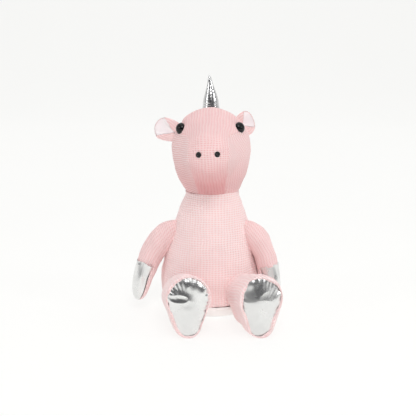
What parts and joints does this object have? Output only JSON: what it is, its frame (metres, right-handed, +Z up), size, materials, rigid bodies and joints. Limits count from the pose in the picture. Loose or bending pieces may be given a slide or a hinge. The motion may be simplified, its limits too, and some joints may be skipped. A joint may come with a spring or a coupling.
{
  "type": "plush unicorn",
  "caption": "Seated stuffed unicorn in waffle knit with a foil horn, hooves and soles, satin-lined ears and a flat weighted base; head, ears, arms and legs flex at their seams.",
  "frame": {"origin": "middle of the flat base panel's underside, on the surface that the toy sits on", "axes": "+Z up, the toy faces -Y, its own right hand is towards -X"},
  "size_m": [0.1656, 0.178, 0.2598],
  "materials": {
    "pink_waffle_knit": "matte",
    "silver_foil_cloth": "satin",
    "pale_pink_satin": "satin",
    "cream_woven": "matte",
    "black_moulded_plastic": "gloss",
    "white_washer_plastic": "matte",
    "fibre_filling": "matte",
    "pellets": "matte",
    "pouch_cloth": "matte",
    "pink_thread": "matte"
  },
  "bodies": {
    "torso": {"body_front_panel": "pink_waffle_knit", "body_back_panel_left": "pink_waffle_knit", "body_back_panel_right": "pink_waffle_knit", "base_panel": "cream_woven", "body_stuffing": "fibre_filling", "pellet_pouch": "pouch_cloth", "pellet_fill": "pellets"},
    "neck": {"neck_seam": "pink_thread"},
    "head": {"head_centre_panel": "pink_waffle_knit", "head_side_panel_left": "pink_waffle_knit", "head_side_panel_right": "pink_waffle_knit", "head_stuffing": "fibre_filling", "horn_cover": "silver_foil_cloth", "horn_stuffing": "fibre_filling", "eye_left": "black_moulded_plastic", "eye_right": "black_moulded_plastic", "eye_washer_left": "white_washer_plastic", "eye_washer_right": "white_washer_plastic", "nostril_left": "black_moulded_plastic", "nostril_right": "black_moulded_plastic", "nostril_washer_left": "white_washer_plastic", "nostril_washer_right": "white_washer_plastic"},
    "ear_left": {"ear_back_left": "pink_waffle_knit", "ear_lining_left": "pale_pink_satin"},
    "arm_left": {"arm_cover_left": "pink_waffle_knit", "hoof_cover_left": "silver_foil_cloth", "hoof_palm_left": "pink_waffle_knit", "arm_stuffing_left": "fibre_filling"},
    "leg_left": {"leg_cover_left": "pink_waffle_knit", "sole_left": "silver_foil_cloth", "leg_stuffing_left": "fibre_filling"},
    "ear_right": {"ear_back_right": "pink_waffle_knit", "ear_lining_right": "pale_pink_satin"},
    "arm_right": {"arm_cover_right": "pink_waffle_knit", "hoof_cover_right": "silver_foil_cloth", "hoof_palm_right": "pink_waffle_knit", "arm_stuffing_right": "fibre_filling"},
    "leg_right": {"leg_cover_right": "pink_waffle_knit", "sole_right": "silver_foil_cloth", "leg_stuffing_right": "fibre_filling"}
  },
  "joints": [
    {"name": "head_turn", "type": "hinge", "parent": "torso", "child": "neck", "pos_m": [0, 0, 0.152], "axis": [0, 0, 1], "range_deg": [-25, 25], "stiffness_Nm_per_rad": 0.15},
    {"name": "head_nod", "type": "hinge", "parent": "neck", "child": "head", "pos_m": [0, 0, 0.152], "axis": [1, 0, 0], "range_deg": [-15, 15], "stiffness_Nm_per_rad": 0.8},
    {"name": "ear_right_fold", "type": "hinge", "parent": "head", "child": "ear_right", "pos_m": [-0.04762, 0.00621, 0.19786], "axis": [0.2247, -0.0114, 0.9744], "range_deg": [-40, 40], "stiffness_Nm_per_rad": 0.002},
    {"name": "ear_left_fold", "type": "hinge", "parent": "head", "child": "ear_left", "pos_m": [0.02955, 0.00271, 0.20735], "axis": [0.5871, -0.0297, -0.8089], "range_deg": [-40, 40], "stiffness_Nm_per_rad": 0.002},
    {"name": "arm_right_raise", "type": "hinge", "parent": "torso", "child": "arm_right", "pos_m": [-0.04226, -0.00898, 0.093], "axis": [-0.2079, 0.9781, 0], "range_deg": [0, 60], "deforming": ["arm_cover_right"]},
    {"name": "arm_left_raise", "type": "hinge", "parent": "torso", "child": "arm_left", "pos_m": [0.03915, -0.01826, 0.093], "axis": [-0.4226, -0.9063, 0], "range_deg": [0, 60], "deforming": ["arm_cover_left"]},
    {"name": "leg_right_swing", "type": "hinge", "parent": "torso", "child": "leg_right", "pos_m": [-0.034, -0.051, 0.022], "axis": [-0.9903, -0.1392, 0], "range_deg": [-35, 40], "deforming": ["leg_cover_right"]},
    {"name": "leg_left_swing", "type": "hinge", "parent": "torso", "child": "leg_left", "pos_m": [0.034, -0.051, 0.022], "axis": [-0.9703, -0.2419, 0], "range_deg": [-35, 40], "deforming": ["leg_cover_left"]}
  ]
}
